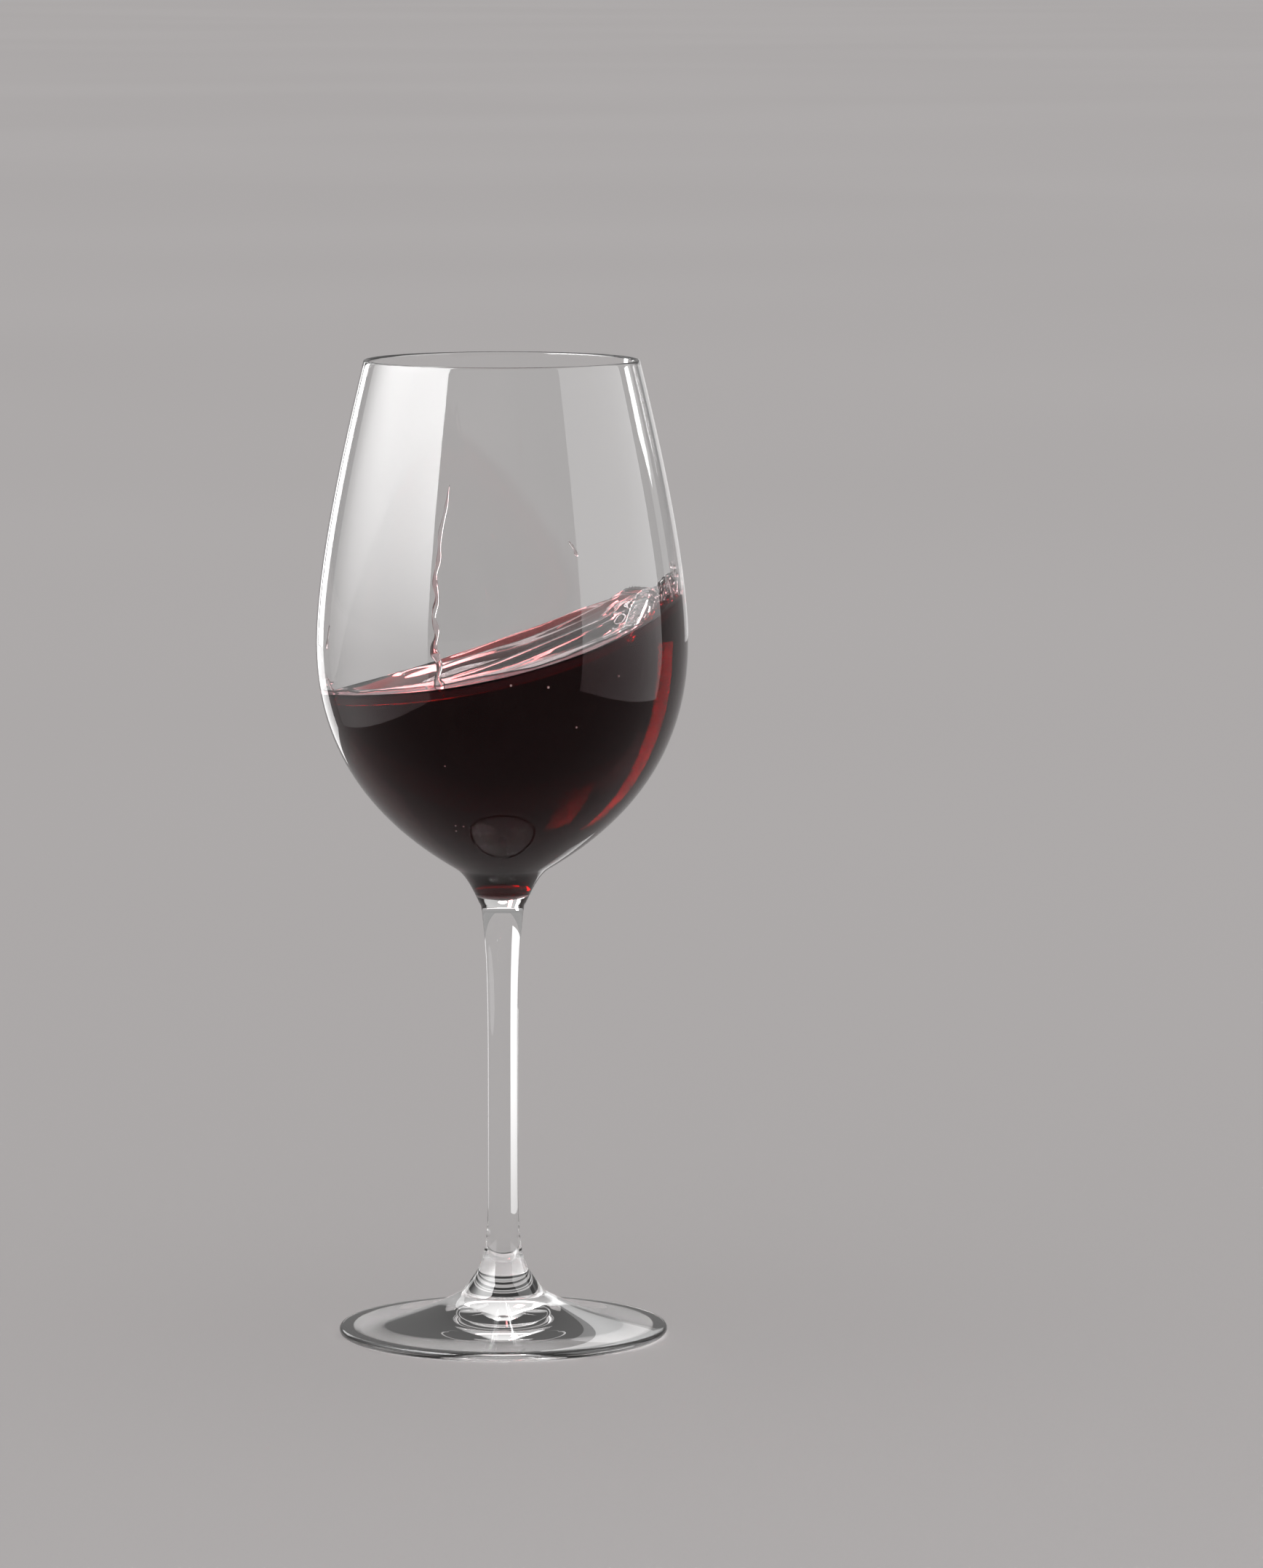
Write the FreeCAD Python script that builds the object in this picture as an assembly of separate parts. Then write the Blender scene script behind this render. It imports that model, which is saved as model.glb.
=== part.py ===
"""Stemmed glass of red wine, swirled so that the wine climbs one side of the bowl.

Two solids, in millimetres, with +Z up and the origin on the table under the middle of the foot:

- glass: one blown piece. Its outline runs from the hollow under the foot, round the foot's edge, up the
  flare, the stem and the funnel, over the bowl and its lip, and back down the inside. It is turned about Z.
- wine: what the bowl holds, up to the swirled surface, which is high at +X and a little higher at the back.

An outline point is (radius, height). A curve between two points is a cubic Bezier, set by the slope and
the reach of the wall at each end.
"""

import math
import os

import FreeCAD
import Part

# Whole glass. The heights stack up from the table: stem, funnel, lower bowl, upper bowl.
STEM_HEIGHT = 103.3  # where the stem was joined to the bowl
FUNNEL_HEIGHT = 8.3
LOWER_BOWL_HEIGHT = 53.4
UPPER_BOWL_HEIGHT = 67.0
BELLY_RADIUS = 44.0  # widest outer radius of the bowl
LIP_RADIUS = 32.6  # outer radius at the lip
FOOT_RADIUS = 39.1

FLOOR_HEIGHT = STEM_HEIGHT + FUNNEL_HEIGHT
BELLY_HEIGHT = FLOOR_HEIGHT + LOWER_BOWL_HEIGHT
LIP_HEIGHT = BELLY_HEIGHT + UPPER_BOWL_HEIGHT

# Wall of the bowl
LIP_WALL = 1.1
BELLY_WALL = 1.2
FLOOR_WALL = 1.8
LIP_LEAN = 13.8  # degrees from upright, inwards going up
LIP_REACH = 17.3
BELLY_REACH_UP = 18.9
BELLY_REACH_DOWN = 24.2

# Floor of the bowl and the funnel under it, down to where the stem was joined on
FLOOR_RADIUS = 11.4
FLOOR_SLOPE = 30.6  # degrees above level, going outwards
FLOOR_REACH = 23.8
FUNNEL_REACH = 3.2
JOIN_RADIUS = 5.6
JOIN_LEAN = 26.0  # degrees from upright, outwards going up
JOIN_REACH = 3.6
JOIN_STEP = 0.45  # the stem's top is this much narrower than the funnel's end
JOIN_DROP = 0.8

# Pointed end of the inside, within the funnel
WELL_THICKNESS = 1.7  # glass between the well's end and the joint
WELL_REACH_IN = 4.0
WELL_REACH_OUT = 7.5

# Stem
STEM_RADIUS = 3.6
TAPER_LENGTH = 40.5  # from the stem's top down to where its sides run straight
TAPER_LEAN = 7.6
TAPER_REACH_TOP = 10.7
TAPER_REACH_BOTTOM = 20.2
FLARE_HEIGHT = 28.4  # from the foot up to where the stem's sides run straight
FLARE_REACH_DOWN = 20.0
FLARE_REACH_OUT = 9.0
FLARE_SLOPE = 50.0  # degrees below level where the flare meets the foot

# Foot
FOOT_EDGE = 1.9  # height of the foot's rounded edge
SHOULDER_RADIUS = 10.2  # faint ring where the flare becomes the foot
SHOULDER_HEIGHT = 9.6
SHOULDER_SLOPE = 32.0  # degrees below level
SHOULDER_REACH = 7.7
EDGE_SLOPE = 4.0  # degrees below level
EDGE_REACH = 12.0
SEAT_WIDTH = 2.6  # flat ring that the glass stands on
HOLLOW_HEIGHT = 4.0  # rise of the hollow under the foot, at the middle
HOLLOW_REACH_IN = 8.0
HOLLOW_REACH_OUT = 14.0

# Swirled surface of the wine. Its height over a point is worked out from that point's place across the
# bowl, as a share of the inside radius at the belly: x towards +X and y towards the back.
WINE_DEPTH = 47.6  # from the bowl's floor up to the surface, on the axis
WINE_RISE = 12.3
WINE_BACK_RISE = 1.6
WINE_CURL = 5.7
WINE_CURL_BACK = 1.5
WINE_TWIST = 2.4
SURFACE_GRID = 15  # points each way
SURFACE_MARGIN = 1.0  # how far the surface is drawn past the inside of the wall


def point(radius, height):
    """A point of the outline, in the plane that is turned about Z."""
    return FreeCAD.Vector(radius, 0.0, height)


def towards(start, reach, degrees):
    """The point that lies reach from start, at an angle above the +X direction."""
    angle = math.radians(degrees)
    return start + FreeCAD.Vector(reach * math.cos(angle), 0.0, reach * math.sin(angle))


def curve(start, leaving, arriving, end):
    """A cubic Bezier edge. leaving and arriving are its two inner poles."""
    bezier = Part.BezierCurve()
    bezier.setPoles([start, leaving, arriving, end])
    return bezier.toShape()


def line(start, end):
    """A straight edge."""
    return Part.LineSegment(start, end).toShape()


def arc(start, middle, end):
    """An edge round a circle, through three points."""
    return Part.Arc(start, middle, end).toShape()


def turned(edges):
    """The solid that a closed outline sweeps in one full turn about Z."""
    face = Part.Face(Part.Wire(edges))
    solid = face.revolve(FreeCAD.Vector(0, 0, 0), FreeCAD.Vector(0, 0, 1), 360.0)
    return solid if solid.Volume > 0 else solid.reversed()


def wall_side(lip_end, belly_radius, base):
    """The bowl's wall from the floor up to the lip: two curves that meet upright at the belly.

    The same reaches serve the outside and the inside, so the wall's thickness changes evenly.
    """
    belly = point(belly_radius, BELLY_HEIGHT)
    lower = curve(
        base,
        towards(base, FLOOR_REACH, FLOOR_SLOPE),
        towards(belly, BELLY_REACH_DOWN, -90.0),
        belly,
    )
    upper = curve(
        belly,
        towards(belly, BELLY_REACH_UP, 90.0),
        towards(lip_end, LIP_REACH, LIP_LEAN - 90.0),
        lip_end,
    )
    return [lower, upper]


def well_bottom():
    """The lowest point of the inside, on the axis."""
    return point(0.0, STEM_HEIGHT + WELL_THICKNESS)


def lip_points():
    """The outer end, the crown and the inner end of the half-round lip."""
    half = LIP_WALL / 2
    outer_reach = half * math.cos(math.radians(LIP_LEAN))
    centre = point(LIP_RADIUS - outer_reach, LIP_HEIGHT - half)
    return (
        towards(centre, half, LIP_LEAN),
        towards(centre, half, LIP_LEAN + 90.0),
        towards(centre, half, LIP_LEAN + 180.0),
    )


def foot_outside():
    """From the axis under the foot, over the seat and round the edge, to the shoulder."""
    round_radius = FOOT_EDGE / 2
    edge_middle = point(FOOT_RADIUS - round_radius, round_radius)
    seat_outer = point(edge_middle.x, 0.0)
    seat_inner = point(seat_outer.x - SEAT_WIDTH, 0.0)
    hollow_top = point(0.0, HOLLOW_HEIGHT)
    edge_top = towards(edge_middle, round_radius, 90.0 - EDGE_SLOPE)
    shoulder = point(SHOULDER_RADIUS, SHOULDER_HEIGHT)
    return [
        curve(
            hollow_top,
            towards(hollow_top, HOLLOW_REACH_IN, 0.0),
            towards(seat_inner, HOLLOW_REACH_OUT, 180.0 - EDGE_SLOPE),
            seat_inner,
        ),
        line(seat_inner, seat_outer),
        arc(seat_outer, towards(edge_middle, round_radius, 0.0), edge_top),
        curve(
            edge_top,
            towards(edge_top, EDGE_REACH, 180.0 - EDGE_SLOPE),
            towards(shoulder, SHOULDER_REACH, -SHOULDER_SLOPE),
            shoulder,
        ),
    ]


def stem_outside():
    """From the shoulder up the flare and the stem, over the joint and the funnel, to the bowl's floor."""
    shoulder = point(SHOULDER_RADIUS, SHOULDER_HEIGHT)
    straight_bottom = point(STEM_RADIUS, SHOULDER_HEIGHT + FLARE_HEIGHT)
    stem_top = point(JOIN_RADIUS - JOIN_STEP, STEM_HEIGHT - JOIN_DROP)
    straight_top = point(STEM_RADIUS, stem_top.z - TAPER_LENGTH)
    join = point(JOIN_RADIUS, STEM_HEIGHT)
    floor = point(FLOOR_RADIUS, FLOOR_HEIGHT)
    return [
        curve(
            shoulder,
            towards(shoulder, FLARE_REACH_OUT, 180.0 - FLARE_SLOPE),
            towards(straight_bottom, FLARE_REACH_DOWN, -90.0),
            straight_bottom,
        ),
        line(straight_bottom, straight_top),
        curve(
            straight_top,
            towards(straight_top, TAPER_REACH_BOTTOM, 90.0),
            towards(stem_top, TAPER_REACH_TOP, -90.0 - TAPER_LEAN),
            stem_top,
        ),
        line(stem_top, join),
        curve(
            join,
            towards(join, JOIN_REACH, 90.0 - JOIN_LEAN),
            towards(floor, FUNNEL_REACH, 180.0 + FLOOR_SLOPE),
            floor,
        ),
    ]


def inside():
    """The bowl's inside, from its lowest point on the axis up to the lip."""
    well = well_bottom()
    outer_floor = point(FLOOR_RADIUS, FLOOR_HEIGHT)
    floor = towards(outer_floor, FLOOR_WALL, FLOOR_SLOPE + 90.0)
    well_side = curve(
        well,
        towards(well, WELL_REACH_OUT, 0.0),
        towards(floor, WELL_REACH_IN, 180.0 + FLOOR_SLOPE),
        floor,
    )
    lip_inner = lip_points()[2]
    return [well_side, *wall_side(lip_inner, BELLY_RADIUS - BELLY_WALL, floor)]


def make_glass():
    """The whole glass as one solid: foot, stem and bowl."""
    outer_end, crown, inner_end = lip_points()
    outer_floor = point(FLOOR_RADIUS, FLOOR_HEIGHT)
    outline = [
        *foot_outside(),
        *stem_outside(),
        *wall_side(outer_end, BELLY_RADIUS, outer_floor),
        arc(outer_end, crown, inner_end),
        *reversed(inside()),
        line(well_bottom(), point(0.0, HOLLOW_HEIGHT)),
    ]
    return turned(outline)


def wine_height(x, y):
    """Height of the swirled surface over a place in the bowl."""
    reach = BELLY_RADIUS - BELLY_WALL
    across, back = x / reach, y / reach
    return (
        FLOOR_HEIGHT
        + WINE_DEPTH
        + WINE_RISE * across
        + WINE_BACK_RISE * back
        + WINE_CURL * across**2
        + WINE_CURL_BACK * back**2
        + WINE_TWIST * across * back
    )


def under_the_surface():
    """The block of space below the swirled surface, wider than the bowl."""
    half = BELLY_RADIUS - BELLY_WALL + SURFACE_MARGIN
    places = [half * (2 * i / (SURFACE_GRID - 1) - 1) for i in range(SURFACE_GRID)]
    grid = [[FreeCAD.Vector(x, y, wine_height(x, y)) for y in places] for x in places]
    surface = Part.BSplineSurface()
    surface.interpolate(grid)
    block = surface.toShape().extrude(FreeCAD.Vector(0, 0, -LIP_HEIGHT))
    return block if block.Volume > 0 else block.reversed()


def make_wine():
    """The wine: the bowl's inside, up to the swirled surface."""
    lip_inner = lip_points()[2]
    outline = [
        *inside(),
        line(lip_inner, point(0.0, lip_inner.z)),
        line(point(0.0, lip_inner.z), well_bottom()),
    ]
    return turned(outline).common(under_the_surface())


def export(name, shape):
    """Writes one node's STEP file and prints its size."""
    solids = shape.Solids
    if len(solids) != 1 or not solids[0].isValid():
        raise ValueError(f"{name} isn't one valid solid: it has {len(solids)}")
    solids[0].exportStep(os.path.join("parts", name + ".step"))
    box = solids[0].BoundBox
    print(
        f"{name}: {solids[0].Volume / 1000:.1f} ml,"
        f" {box.XLength:.2f} x {box.YLength:.2f} x {box.ZLength:.2f} mm"
    )


def main():
    """Makes both nodes."""
    os.makedirs("parts", exist_ok=True)
    export("glass", make_glass())
    export("wine", make_wine())


main()
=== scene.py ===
"""Looks of a stemmed glass of red wine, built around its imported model.

The glass stands on a pale floor in soft studio light. It has just been swirled: the wine climbs one side
of the bowl, its surface is drawn out in streaks, and what has run up the wall hangs there as legs and
drips. All lengths are in metres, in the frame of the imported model.
"""

from __future__ import annotations

import logging
import math
import random
from dataclasses import dataclass, field
from enum import Enum

import bpy
import numpy as np
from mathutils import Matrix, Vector, noise


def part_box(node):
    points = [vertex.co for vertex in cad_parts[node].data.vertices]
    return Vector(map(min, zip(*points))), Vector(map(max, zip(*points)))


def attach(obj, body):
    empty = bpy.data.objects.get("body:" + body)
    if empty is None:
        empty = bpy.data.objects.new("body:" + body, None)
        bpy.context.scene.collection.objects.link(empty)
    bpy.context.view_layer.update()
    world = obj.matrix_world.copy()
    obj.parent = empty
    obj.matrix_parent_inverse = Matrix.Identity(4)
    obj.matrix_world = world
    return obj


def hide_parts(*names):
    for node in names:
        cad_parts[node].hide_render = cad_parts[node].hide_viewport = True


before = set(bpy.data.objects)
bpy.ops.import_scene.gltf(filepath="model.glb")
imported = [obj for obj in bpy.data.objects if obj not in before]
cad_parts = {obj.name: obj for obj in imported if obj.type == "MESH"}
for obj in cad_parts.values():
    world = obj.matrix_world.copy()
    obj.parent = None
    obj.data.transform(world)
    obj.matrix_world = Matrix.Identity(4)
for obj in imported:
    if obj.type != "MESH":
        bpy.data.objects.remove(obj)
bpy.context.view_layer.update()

LOG = logging.getLogger("glass_of_red_wine")
BODY = "root"
# Points of an outline that are closer than this count as one.
SAME_POINT = 1e-7
# How fast the grain's finer layers fade, and how much finer each is than the last.
GRAIN_FALL = 0.9
GRAIN_STEP = 2.1
# Strengths between which a noise texture mostly stays.
TEXTURE_DARK = 0.3
TEXTURE_BRIGHT = 0.7

Point2 = tuple[float, float]
Colour = tuple[float, float, float]
Faces = list[tuple[int, ...]]


class Slot(Enum):
    """The record's material slots."""

    GLASS = "glass"
    WINE = "wine"


# ---------------------------------------------------------------------------------------------------
# Outlines and meshes
# ---------------------------------------------------------------------------------------------------


def towards(start: Point2, reach: float, degrees: float) -> Point2:
    """Finds the point at a distance from another.

    Args:
        start: Radius and height of the first point.
        reach: Distance to go.
        degrees: Direction, as an angle above the outward level.

    Returns:
        Radius and height of the point reached.
    """
    angle = math.radians(degrees)
    return start[0] + reach * math.cos(angle), start[1] + reach * math.sin(angle)


def curve(start: Point2, leaving: Point2, arriving: Point2, end: Point2, steps: int) -> np.ndarray:
    """Samples a cubic Bezier curve.

    Args:
        start: First point.
        leaving: First inner pole.
        arriving: Second inner pole.
        end: Last point.
        steps: Number of equal steps of the curve's parameter.

    Returns:
        An array of steps + 1 points.
    """
    t = np.linspace(0.0, 1.0, steps + 1)[:, None]
    poles = [np.array(p) for p in (start, leaving, arriving, end)]
    weights = ((1 - t) ** 3, 3 * (1 - t) ** 2 * t, 3 * (1 - t) * t**2, t**3)
    return sum(w * p for w, p in zip(weights, poles))


def arc(centre: Point2, radius: float, first: float, last: float, steps: int) -> np.ndarray:
    """Samples a stretch of a circle.

    Args:
        centre: The circle's middle.
        radius: The circle's radius.
        first: Angle of the first point, in degrees above the outward level.
        last: Angle of the last point.
        steps: Number of equal steps.

    Returns:
        An array of steps + 1 points.
    """
    return np.array([towards(centre, radius, a) for a in np.linspace(first, last, steps + 1)])


def joined(*stretches: np.ndarray) -> np.ndarray:
    """Strings outline stretches together and drops the points that repeat.

    Args:
        stretches: Arrays of points, each starting where the last one ends.

    Returns:
        One array of points.
    """
    points = np.vstack(stretches)
    step = np.linalg.norm(np.diff(points, axis=0), axis=1)
    return points[np.concatenate([[True], step > SAME_POINT])]


def smooth_step(value: np.ndarray | float, low: float, high: float) -> np.ndarray | float:
    """Rises smoothly from 0 at low to 1 at high.

    Args:
        value: What is measured.
        low: Where the rise starts.
        high: Where the rise ends.

    Returns:
        The share of the rise, between 0 and 1.
    """
    t = np.clip((value - low) / (high - low), 0.0, 1.0)
    return t * t * (3 - 2 * t)


def grain(x: float, y: float, z: float = 0.0, octaves: int = 3) -> float:
    """Smooth random relief at a place, between about -1 and 1.

    Args:
        x: Place along the first axis, in units of the relief's size.
        y: Place along the second axis.
        z: Place along the third axis, which also serves as a seed.
        octaves: How many finer layers are added.

    Returns:
        The relief there.
    """
    return noise.fractal(Vector((x, y, z)), GRAIN_FALL, GRAIN_STEP, octaves, noise_basis="PERLIN_ORIGINAL")


def new_piece(name: str, points: np.ndarray, faces: Faces) -> bpy.types.Object:
    """Makes a smooth mesh object.

    Args:
        name: The piece's name.
        points: Its vertices.
        faces: Its faces, as rows of vertex numbers, seen counter-clockwise from outside.

    Returns:
        The new object, linked to the scene.
    """
    mesh = bpy.data.meshes.new(name)
    mesh.from_pydata([tuple(p) for p in points], [], faces)
    mesh.validate()
    mesh.shade_smooth()
    piece = bpy.data.objects.new(name, mesh)
    bpy.context.scene.collection.objects.link(piece)
    return piece


def declare(piece: bpy.types.Object, slot: Slot, replaces: str = "") -> None:
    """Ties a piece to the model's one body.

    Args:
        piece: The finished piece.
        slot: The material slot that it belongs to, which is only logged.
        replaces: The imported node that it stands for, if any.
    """
    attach(piece, BODY)
    if replaces:
        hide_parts(replaces)
    LOG.info("%s: %d faces, slot %s", piece.name, len(piece.data.polygons), slot.value)


def ring_faces(rows: int, columns: int) -> Faces:
    """Quads between rings of points that close on themselves.

    Args:
        rows: Number of rings.
        columns: Number of points in each ring.

    Returns:
        The faces, for rings that are stored one after another.
    """
    faces = []
    for i in range(rows - 1):
        for j in range(columns):
            k = (j + 1) % columns
            faces.append((i * columns + j, i * columns + k, (i + 1) * columns + k, (i + 1) * columns + j))
    return faces


def cap_faces(tip: int, ring: int, columns: int, above: bool) -> Faces:
    """Triangles that close the first or the last ring of points with a tip.

    Args:
        tip: Vertex number of the tip.
        ring: Vertex number of the ring's first point.
        columns: Number of points in the ring.
        above: Whether the ring is the last one.

    Returns:
        The faces.
    """
    pairs = [(ring + j, ring + (j + 1) % columns) for j in range(columns)]
    return [(tip, *(pair if above else pair[::-1])) for pair in pairs]


def turned(outline: np.ndarray, columns: int) -> tuple[np.ndarray, Faces]:
    """Turns an outline about the upright axis. Both its ends lie on the axis.

    Args:
        outline: Points of radius and height, going round the solid with its inside on the left.
        columns: Number of steps round the axis.

    Returns:
        The vertices and the faces.
    """
    angles = np.linspace(0.0, 2 * math.pi, columns, endpoint=False)
    rings = outline[1:-1]
    body = np.vstack(
        [np.stack([r * np.cos(angles), r * np.sin(angles), np.full(columns, z)], axis=1) for r, z in rings]
    )
    tip = len(body)
    vertices = np.vstack([body, [[0, 0, outline[0][1]], [0, 0, outline[-1][1]]]])
    faces = ring_faces(len(rings), columns)
    faces += cap_faces(tip, 0, columns, above=False)
    faces += cap_faces(tip + 1, tip - columns, columns, above=True)
    return vertices, faces


# ---------------------------------------------------------------------------------------------------
# Finishes
# ---------------------------------------------------------------------------------------------------


class NodeBench:
    """Builds one node-based material, node by node."""

    def __init__(self, name: str) -> None:
        """Starts an empty material.

        Args:
            name: The material's name.
        """
        self.material = bpy.data.materials.new(name)
        self.material.use_nodes = True
        self.tree = self.material.node_tree
        self.tree.nodes.clear()
        self.output = self.add("ShaderNodeOutputMaterial")
        self.shader = self.add("ShaderNodeBsdfPrincipled")
        self.link(self.shader, "BSDF", self.output, "Surface")

    def add(self, kind: str, **settings: object) -> bpy.types.Node:
        """Adds a node.

        Args:
            kind: The node's type.
            settings: Attributes to set on it.

        Returns:
            The new node.
        """
        node = self.tree.nodes.new(kind)
        for key, value in settings.items():
            setattr(node, key, value)
        return node

    def link(self, source: bpy.types.Node, out: str | int, target: bpy.types.Node, into: str | int) -> None:
        """Joins one node's output to another's input."""
        self.tree.links.new(source.outputs[out], target.inputs[into])

    def relief(
        self, scale: float, detail: float, stretch: tuple[float, float, float] = (1.0, 1.0, 1.0)
    ) -> bpy.types.Node:
        """Adds a noise texture in the piece's own coordinates.

        Args:
            scale: Waves of the noise in a metre.
            detail: Number of finer layers.
            stretch: Factors on the coordinates, to draw the noise out along an axis.

        Returns:
            The noise node.
        """
        place = self.add("ShaderNodeTexCoord")
        mapping = self.add("ShaderNodeMapping")
        mapping.inputs["Scale"].default_value = stretch
        texture = self.add("ShaderNodeTexNoise")
        texture.inputs["Scale"].default_value = scale
        texture.inputs["Detail"].default_value = detail
        self.link(place, "Object", mapping, "Vector")
        self.link(mapping, "Vector", texture, "Vector")
        return texture

    def ramp(self, source: bpy.types.Node, stops: list[tuple[float, Colour]]) -> bpy.types.Node:
        """Adds a colour ramp on a texture's strength.

        Args:
            source: The texture node.
            stops: Positions and their colours.

        Returns:
            The ramp node.
        """
        node = self.add("ShaderNodeValToRGB")
        elements = node.color_ramp.elements
        while len(elements) < len(stops):
            elements.new(0.5)
        for element, (position, colour) in zip(elements, stops):
            element.position = position
            element.color = (*colour, 1.0)
        self.link(source, 0, node, "Fac")
        return node

    def height_share(self, low: float, high: float) -> bpy.types.Node:
        """Adds the share of the way up from one height of the piece to another.

        Args:
            low: Height where the share is 0.
            high: Height where the share is 1.

        Returns:
            The mapping node.
        """
        place = self.add("ShaderNodeTexCoord")
        split = self.add("ShaderNodeSeparateXYZ")
        share = self.add("ShaderNodeMapRange")
        share.inputs["From Min"].default_value = low
        share.inputs["From Max"].default_value = high
        self.link(place, "Object", split, 0)
        self.link(split, "Z", share, "Value")
        return share

    def product(self, first: bpy.types.Node, second: bpy.types.Node) -> bpy.types.Node:
        """Multiplies two colours.

        Args:
            first: A ramp node.
            second: Another ramp node.

        Returns:
            A node whose output "Vector" is the product.
        """
        node = self.add("ShaderNodeVectorMath", operation="MULTIPLY")
        self.link(first, "Color", node, 0)
        self.link(second, "Color", node, 1)
        return node

    def paint(self, texture: bpy.types.Node, span: tuple[float, float], low: Colour, high: Colour) -> None:
        """Gives the shader a colour that follows a texture.

        Args:
            texture: The texture node.
            span: The texture's strengths at which the two colours are reached.
            low: Colour where the texture is dark.
            high: Colour where the texture is bright.
        """
        tones = self.ramp(texture, [(span[0], low), (span[1], high)])
        self.link(tones, "Color", self.shader, "Base Color")

    def roughen(self, texture: bpy.types.Node, most: float) -> None:
        """Makes the surface a little rough where a texture is bright.

        Args:
            texture: The texture node.
            most: Roughness where the texture is brightest. It is 0 where the texture is darkest.
        """
        node = self.add("ShaderNodeMapRange")
        node.inputs["From Min"].default_value = TEXTURE_DARK
        node.inputs["From Max"].default_value = TEXTURE_BRIGHT
        node.inputs["To Max"].default_value = most
        self.link(texture, 0, node, "Value")
        self.link(node, "Result", self.shader, "Roughness")

    def bump(self, texture: bpy.types.Node, depth: float) -> None:
        """Gives the shader a bump from a texture.

        Args:
            texture: The texture node.
            depth: Height of the bump, in metres.
        """
        node = self.add("ShaderNodeBump")
        node.inputs["Distance"].default_value = depth
        self.link(texture, 0, node, "Height")
        self.link(node, "Normal", self.shader, "Normal")


@dataclass(frozen=True)
class ClearGlass:
    """Colourless, polished, blown glass, with the slightest unevenness."""

    name: str
    index: float = 1.5
    reflection: Colour = (1.0, 1.0, 1.0)
    tint_low: Colour = (0.965, 0.972, 0.972)
    tint_high: Colour = (0.995, 0.998, 0.998)

    def material(self) -> bpy.types.Material:
        """Builds the material.

        Returns:
            The finished material.
        """
        bench = NodeBench(self.name)
        shader = bench.shader.inputs
        shader["IOR"].default_value = self.index
        shader["Transmission Weight"].default_value = 1.0
        shader["Specular Tint"].default_value = (*self.reflection, 1.0)
        streaks = bench.relief(scale=28.0, detail=2.0, stretch=(1.0, 1.0, 0.35))
        bench.paint(streaks, (0.3, 0.6), self.tint_low, self.tint_high)
        bench.roughen(bench.relief(scale=60.0, detail=3.0), most=0.012)
        bench.bump(bench.relief(scale=22.0, detail=1.0, stretch=(1.0, 1.0, 0.3)), depth=0.00006)
        return bench.material


@dataclass(frozen=True)
class RedWine:
    """Dark red wine: near black where it is deep, and glowing red where it is thin, except near the bowl's
    bottom, where painted shade darkens it.
    """

    name: str
    bottom: float
    index: float = 1.34
    reflection: Colour = (0.30, 0.10, 0.10)
    tint_low: Colour = (0.55, 0.08, 0.10)
    tint_high: Colour = (0.75, 0.14, 0.16)
    absorbed: Colour = (0.885, 0.0, 0.06)
    density: float = 800.0
    painted_shade_reach: float = 0.010
    painted_shade_share: float = 0.16

    def material(self) -> bpy.types.Material:
        """Builds the material. Its colour comes mostly from the depth that light goes through, and near the
        bowl's bottom from painted shade.

        Returns:
            The finished material.
        """
        bench = NodeBench(self.name)
        shader = bench.shader.inputs
        shader["IOR"].default_value = self.index
        shader["Transmission Weight"].default_value = 1.0
        shader["Roughness"].default_value = 0.0
        shader["Specular Tint"].default_value = (*self.reflection, 1.0)
        cloud = bench.relief(scale=35.0, detail=3.0, stretch=(0.4, 1.0, 1.0))
        colour = bench.ramp(cloud, [(0.3, self.tint_low), (0.65, self.tint_high)])
        # Painted shade: the wine's colour darkens towards the bottom of the bowl, so that the thin wine
        # there doesn't glow red.
        risen = bench.height_share(self.bottom, self.bottom + self.painted_shade_reach)
        shade = bench.ramp(risen, [(0.3, (self.painted_shade_share,) * 3), (1.0, (1.0, 1.0, 1.0))])
        bench.link(bench.product(colour, shade), "Vector", bench.shader, "Base Color")
        depth = bench.add("ShaderNodeVolumeAbsorption")
        depth.inputs["Color"].default_value = (*self.absorbed, 1.0)
        depth.inputs["Density"].default_value = self.density
        bench.link(depth, "Volume", bench.output, "Volume")
        return bench.material


@dataclass(frozen=True)
class ThinWine:
    """Wine so thin that hardly any colour is left in it, as in legs, drips and spray."""

    name: str
    index: float = 1.36
    tint_low: Colour = (0.90, 0.70, 0.71)
    tint_high: Colour = (0.98, 0.93, 0.93)

    def material(self) -> bpy.types.Material:
        """Builds the material.

        Returns:
            The finished material.
        """
        bench = NodeBench(self.name)
        shader = bench.shader.inputs
        shader["IOR"].default_value = self.index
        shader["Transmission Weight"].default_value = 1.0
        bench.paint(bench.relief(scale=160.0, detail=2.0), (0.35, 0.6), self.tint_low, self.tint_high)
        bench.roughen(bench.relief(scale=300.0, detail=2.0), most=0.02)
        return bench.material


@dataclass(frozen=True)
class PaleGlintBubbles:
    """Pale, opaque bubbles. The bubbles are real, but their paleness is a painted glint: it stands in for
    the sparkle of light on them.
    """

    name: str
    # Pale colours that are painted glints, so that the bubbles show as bright specks.
    low: Colour = (0.62, 0.45, 0.46)
    high: Colour = (0.88, 0.80, 0.79)

    def material(self) -> bpy.types.Material:
        """Builds the material.

        Returns:
            The finished material.
        """
        bench = NodeBench(self.name)
        bench.shader.inputs["Roughness"].default_value = 0.12
        bench.paint(bench.relief(scale=900.0, detail=1.0), (0.35, 0.65), self.low, self.high)
        return bench.material


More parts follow.
